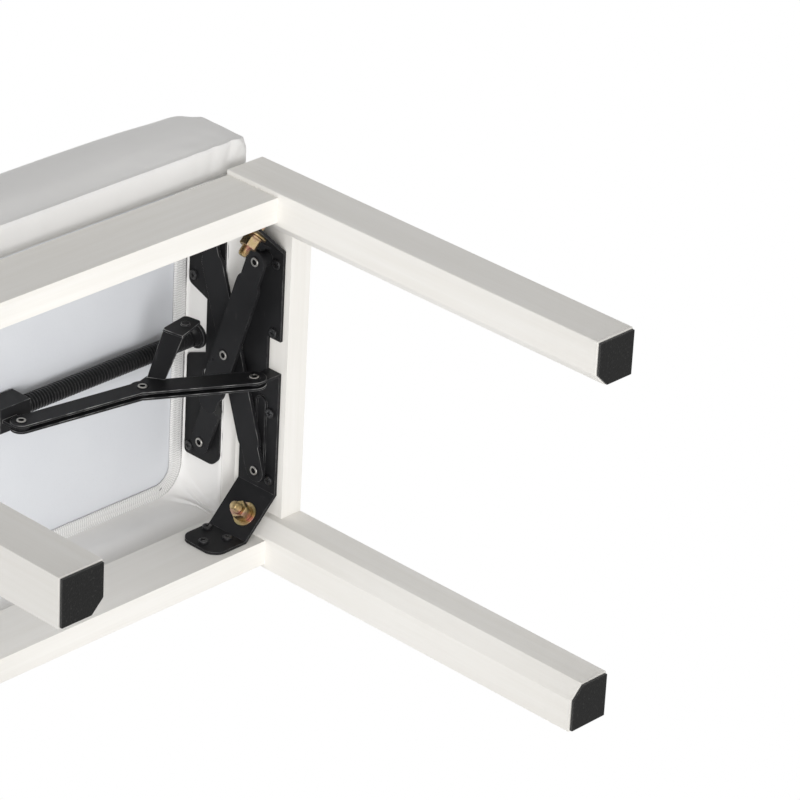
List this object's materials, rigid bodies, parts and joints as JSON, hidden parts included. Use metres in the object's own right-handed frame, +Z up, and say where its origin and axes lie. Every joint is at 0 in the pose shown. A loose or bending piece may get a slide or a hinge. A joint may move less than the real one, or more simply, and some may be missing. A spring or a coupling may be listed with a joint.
{
  "type": "piano bench",
  "caption": "Height-adjustable piano bench: padded white seat on scissor lifts at both ends, moved by a threaded spindle with end knobs, over a painted wooden base on square legs.",
  "frame": {"origin": "middle of the underside of the feet, on the floor", "axes": "X along the bench, Y across it, Z up; +X is the end the picture shows"},
  "size_m": [0.5964, 0.352, 0.4761],
  "materials": {
    "frame_wood": "warm white paint, satin, faint grain",
    "felt": "dark speckled felt",
    "black_steel": "satin black powder coat",
    "black_screw": "black oxide, satin",
    "yellow_zinc": "yellow zinc plating",
    "rivet_steel": "dark steel with worn bright rims",
    "bush_plastic": "matte black",
    "knob_plastic": "black, half gloss",
    "seat_wood": "plain board, partly wrapped in white cloth",
    "cover": "white imitation leather, soft sheen",
    "foam": "open foam",
    "lining": "thin bluish white cloth",
    "tape": "white woven tape"
  },
  "bodies": {
    "base": {"base_bracket_left": "black_steel", "base_bracket_right": "black_steel", "bracket_screws": "black_screw", "corner_bolts": "yellow_zinc", "corner_nuts": "yellow_zinc", "corner_spring_washers": "yellow_zinc", "corner_washers": "yellow_zinc", "end_rail_left": "frame_wood", "end_rail_right": "frame_wood", "foot_pad_left_back": "felt", "foot_pad_left_front": "felt", "foot_pad_right_back": "felt", "foot_pad_right_front": "felt", "leg_left_back": "frame_wood", "leg_left_front": "frame_wood", "leg_right_back": "frame_wood", "leg_right_front": "frame_wood", "long_rail_back": "frame_wood", "long_rail_front": "frame_wood"},
    "seat": {"seat_cover": "cover", "seat_end_rail_left": "seat_wood", "seat_end_rail_right": "seat_wood", "seat_foam": "foam", "seat_lining": "lining", "seat_panel": "seat_wood", "seat_plate_left": "black_steel", "seat_plate_right": "black_steel", "seat_plate_screws": "black_screw", "seat_side_rail_back": "seat_wood", "seat_side_rail_front": "seat_wood", "seat_tape": "tape", "spindle_bush_left": "bush_plastic", "spindle_bush_right": "bush_plastic"},
    "spindle": {"spindle": "black_steel", "knob_left": "knob_plastic", "knob_right": "knob_plastic", "spindle_collar_left": "black_steel", "spindle_collar_right": "black_steel"},
    "front_arm_right": {"front_arm_right": "black_steel", "front_arm_rivets_right": "rivet_steel", "scissor_bushes_right": "rivet_steel"},
    "rear_arm_right": {"rear_arm_right": "black_steel", "rear_arm_rivets_right": "rivet_steel"},
    "link_right": {"link_upper_plate_right": "black_steel", "link_lower_plate_right": "black_steel", "link_rivets_right": "rivet_steel", "link_spacers_right": "rivet_steel"},
    "nut_right": {"spindle_nut_right": "black_steel"},
    "front_arm_left": {"front_arm_left": "black_steel", "front_arm_rivets_left": "rivet_steel", "scissor_bushes_left": "rivet_steel"},
    "rear_arm_left": {"rear_arm_left": "black_steel", "rear_arm_rivets_left": "rivet_steel"},
    "link_left": {"link_upper_plate_left": "black_steel", "link_lower_plate_left": "black_steel", "link_rivets_left": "rivet_steel", "link_spacers_left": "rivet_steel"},
    "nut_left": {"spindle_nut_left": "black_steel"}
  },
  "joints": [
    {"name": "lift", "type": "hinge", "parent": "base", "child": "front_arm_right", "pos_m": [0.2383, -0.0958, 0.351], "axis": [1, 0, 0], "range_deg": [0, 30]},
    {"name": "rear_arm_right_swing", "type": "hinge", "parent": "front_arm_right", "child": "rear_arm_right", "pos_m": [0.2453, -0.004, 0.38207], "axis": [1, 0, 0], "range_deg": [-60, 0]},
    {"name": "seat_level", "type": "hinge", "parent": "rear_arm_right", "child": "seat", "pos_m": [0.2453, -0.0958, 0.41315], "axis": [1, 0, 0], "range_deg": [0, 30]},
    {"name": "front_arm_left_swing", "type": "hinge", "parent": "base", "child": "front_arm_left", "pos_m": [-0.2383, 0.0958, 0.351], "axis": [-1, 0, 0], "range_deg": [0, 30]},
    {"name": "rear_arm_left_swing", "type": "hinge", "parent": "front_arm_left", "child": "rear_arm_left", "pos_m": [-0.2453, 0.004, 0.38207], "axis": [-1, 0, 0], "range_deg": [-60, 0]},
    {"name": "link_right_swing", "type": "hinge", "parent": "base", "child": "link_right", "pos_m": [0.231, 0, 0.3404], "axis": [0, 1, 0], "range_deg": [0, 30]},
    {"name": "nut_right_level", "type": "hinge", "parent": "link_right", "child": "nut_right", "pos_m": [0.0474, 0, 0.40255], "axis": [0, 1, 0], "range_deg": [-30, 0]},
    {"name": "link_left_swing", "type": "hinge", "parent": "base", "child": "link_left", "pos_m": [-0.231, 0, 0.3404], "axis": [0, -1, 0], "range_deg": [0, 30]},
    {"name": "nut_left_level", "type": "hinge", "parent": "link_left", "child": "nut_left", "pos_m": [-0.0474, 0, 0.40255], "axis": [0, -1, 0], "range_deg": [-30, 0]},
    {"name": "spindle_turn", "type": "hinge", "parent": "seat", "child": "spindle", "pos_m": [0, 0, 0.42615], "axis": [1, 0, 0], "continuous": true}
  ],
  "couplings": [
    {"joint": "rear_arm_right_swing", "follows": "lift", "ratio": -2},
    {"joint": "seat_level", "follows": "lift", "ratio": 1},
    {"joint": "front_arm_left_swing", "follows": "lift", "ratio": 1},
    {"joint": "rear_arm_left_swing", "follows": "lift", "ratio": -2},
    {"joint": "link_right_swing", "follows": "lift", "ratio": 1},
    {"joint": "nut_right_level", "follows": "lift", "ratio": -1},
    {"joint": "link_left_swing", "follows": "lift", "ratio": 1},
    {"joint": "nut_left_level", "follows": "lift", "ratio": -1}
  ]
}
